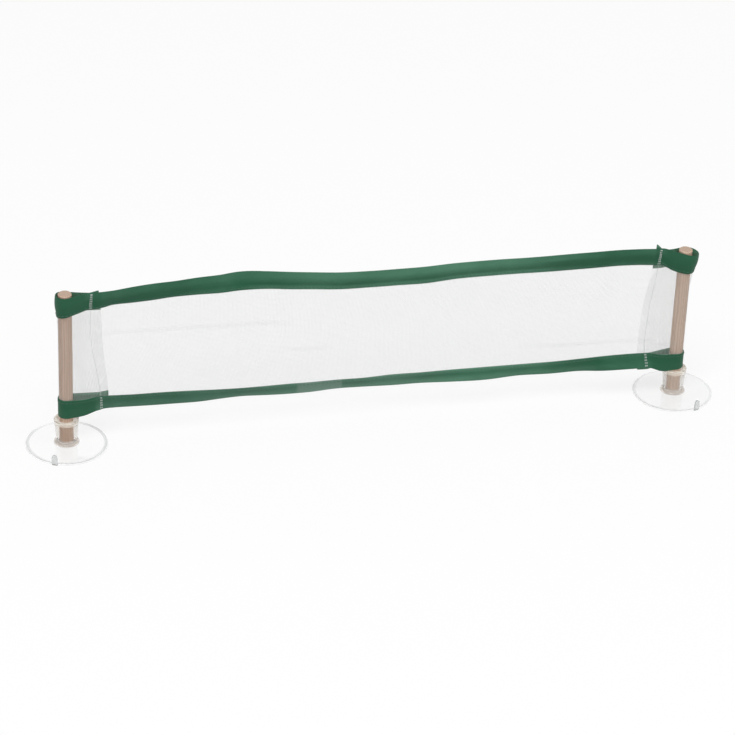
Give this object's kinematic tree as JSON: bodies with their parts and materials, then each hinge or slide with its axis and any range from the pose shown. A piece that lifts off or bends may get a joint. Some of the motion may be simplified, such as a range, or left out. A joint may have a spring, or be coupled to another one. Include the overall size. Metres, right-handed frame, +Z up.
{
  "type": "desktop table tennis net with suction cup posts",
  "caption": "White mesh net bound with green tape, hung by sewn end sleeves on wooden dowel posts that stand in clear suction cup sockets with release tabs.",
  "frame": {"origin": "on the table surface under the cups, halfway between the two posts", "axes": "+X along the net from the left post to the right post, +Y away from the viewer of the picture, +Z up along the posts"},
  "size_m": [0.493, 0.0577, 0.119],
  "materials": {
    "clear_pvc": "soft clear PVC, smooth and glossy, see-through",
    "post_wood": "plain unfinished dowel, fine straight grain along its length",
    "white_mesh": "fine white knitted mesh, about a quarter thread and the rest open",
    "green_tape": "matte dark green woven binding tape",
    "green_thread": "green sewing thread",
    "white_thread": "white sewing thread"
  },
  "bodies": {
    "cups": {"left_suction_cup": "clear_pvc", "right_suction_cup": "clear_pvc"},
    "left_dowel": {"left_post": "post_wood"},
    "right_dowel": {"right_post": "post_wood"},
    "net": {"net_mesh": "white_mesh", "left_sleeve": "white_mesh", "right_sleeve": "white_mesh", "top_tape": "green_tape", "bottom_tape": "green_tape", "left_top_loop": "green_tape", "right_top_loop": "green_tape", "left_bottom_loop": "green_tape", "right_bottom_loop": "green_tape", "top_tape_seam": "green_thread", "bottom_tape_seam": "green_thread", "left_sleeve_seam": "white_thread", "right_sleeve_seam": "white_thread"},
    "left_tab": {"left_release_tab": "clear_pvc"},
    "right_tab": {"right_release_tab": "clear_pvc"}
  },
  "joints": [
    {"name": "left_post_pull", "type": "slide", "parent": "cups", "child": "left_dowel", "axis": [0, 0, 1], "range_m": [0, 0.12]},
    {"name": "right_post_pull", "type": "slide", "parent": "cups", "child": "right_dowel", "axis": [0, 0, 1], "range_m": [0, 0.12]},
    {"name": "net_lift", "type": "slide", "parent": "cups", "child": "net", "axis": [0, 0, 1], "range_m": [0, 0.1]},
    {"name": "left_tab_bend", "type": "hinge", "parent": "cups", "child": "left_tab", "pos_m": [-0.22998, -0.0269, 0.00085], "axis": [0.9135, -0.4067, 0], "range_deg": [-20, 80], "stiffness_Nm_per_rad": 0.003},
    {"name": "right_tab_bend", "type": "hinge", "parent": "cups", "child": "right_tab", "pos_m": [0.22734, -0.02793, 0.00085], "axis": [0.9483, 0.3173, 0], "range_deg": [-20, 80], "stiffness_Nm_per_rad": 0.003}
  ]
}
